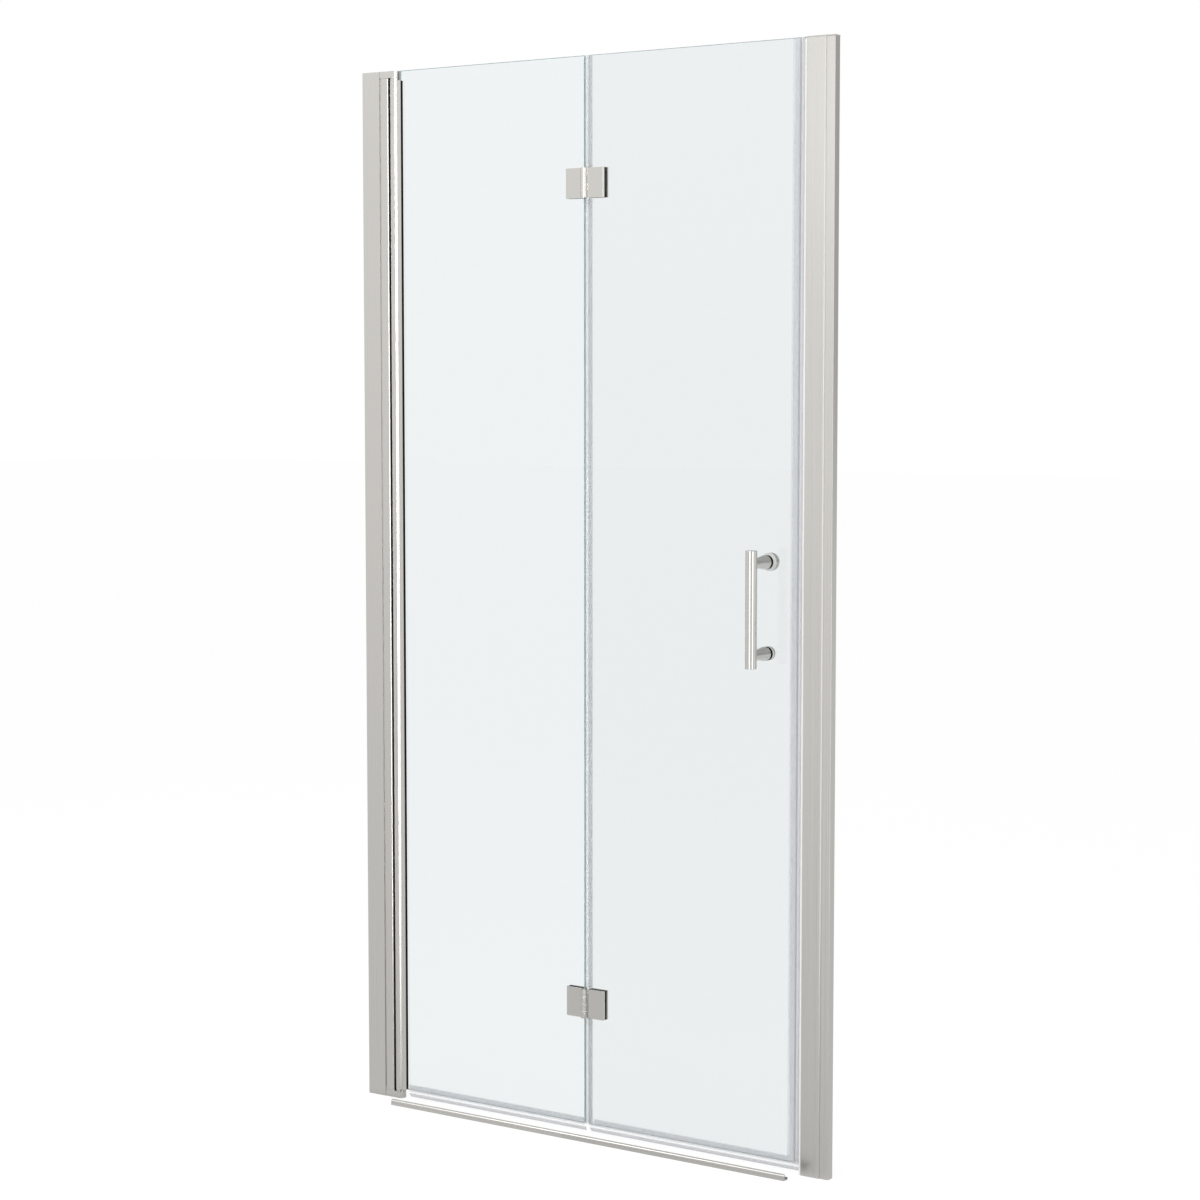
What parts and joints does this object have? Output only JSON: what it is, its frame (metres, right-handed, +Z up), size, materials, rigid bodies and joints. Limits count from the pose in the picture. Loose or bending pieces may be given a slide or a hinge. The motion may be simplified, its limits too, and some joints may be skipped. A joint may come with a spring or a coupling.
{
  "type": "bifold shower door",
  "caption": "Trackless bifold shower door for an opening between two walls: two clear glass leaves, a pivot post, knuckle hinges, wall profiles, pull handle, seals and a loose water bar.",
  "frame": {"origin": "middle of the opening's width, middle of the door's depth from the handle bar to the inner knob, at floor level", "axes": "+X along the door from the hinge side to the strike side, -Y outside the shower where the handle bar is, +Z up"},
  "size_m": [0.9574, 0.0764, 1.83],
  "materials": {
    "profile": "brushed nickel anodised, fine grain along the length",
    "nickel": "brushed nickel",
    "clear_glass": "clear tempered glass with ground edges",
    "clear_pvc": "translucent clear PVC",
    "black_rubber": "matt black",
    "magnet": "white magnetic strip",
    "white_nylon": "white nylon",
    "grey_plastic": "satin, coloured to match the metal",
    "steel": "plain stainless steel"
  },
  "bodies": {
    "frame": {"hinge_wall_channel": "profile", "hinge_jamb": "profile", "jamb_gasket": "black_rubber", "top_pivot_block": "nickel", "bottom_pivot_block": "nickel", "top_pivot_bush": "white_nylon", "bottom_pivot_bush": "white_nylon", "pivot_block_screws": "steel", "hinge_side_screws": "steel", "hinge_side_covers": "grey_plastic", "strike_wall_channel": "profile", "strike_jamb": "profile", "strike_jamb_cap": "grey_plastic", "strike_strip": "clear_pvc", "strike_strip_magnet": "magnet", "strike_side_screws": "steel", "strike_side_covers": "grey_plastic", "water_bar": "profile"},
    "pivot_leaf": {"pivot_post": "profile", "post_top_cap": "nickel", "post_bottom_cap": "nickel", "glazing_gasket": "black_rubber", "pivot_glass": "clear_glass", "pivot_bottom_seal": "clear_pvc", "upper_hinge_pivot_leaf": "nickel", "lower_hinge_pivot_leaf": "nickel", "upper_hinge_pivot_clamp": "nickel", "lower_hinge_pivot_clamp": "nickel", "pivot_hinge_pads": "black_rubber", "pivot_hinge_screws": "steel", "hinge_pins": "steel", "hinge_washers": "white_nylon"},
    "fold_leaf": {"fold_glass": "clear_glass", "fold_bottom_seal": "clear_pvc", "centre_seal": "clear_pvc", "strike_seal": "clear_pvc", "strike_seal_magnet": "magnet", "upper_hinge_fold_leaf": "nickel", "lower_hinge_fold_leaf": "nickel", "upper_hinge_fold_clamp": "nickel", "lower_hinge_fold_clamp": "nickel", "fold_hinge_pads": "black_rubber", "fold_hinge_screws": "steel", "handle_bar": "nickel", "upper_handle_post": "nickel", "lower_handle_post": "nickel", "handle_feet": "black_rubber", "inner_gaskets": "clear_pvc", "handle_sleeves": "white_nylon", "handle_stud": "steel", "inner_knob": "nickel", "inner_cap_screw": "nickel"}
  },
  "joints": [
    {"name": "pivot", "type": "hinge", "parent": "frame", "child": "pivot_leaf", "pos_m": [-0.41175, 0.02375, 0.915], "axis": [0, 0, 1], "range_deg": [0, 85]},
    {"name": "fold", "type": "hinge", "parent": "pivot_leaf", "child": "fold_leaf", "pos_m": [-0.00025, 0.01375, 0.915], "axis": [0, 0, -1], "range_deg": [0, 170]}
  ],
  "couplings": [
    {"joint": "fold", "follows": "pivot", "ratio": 2}
  ]
}
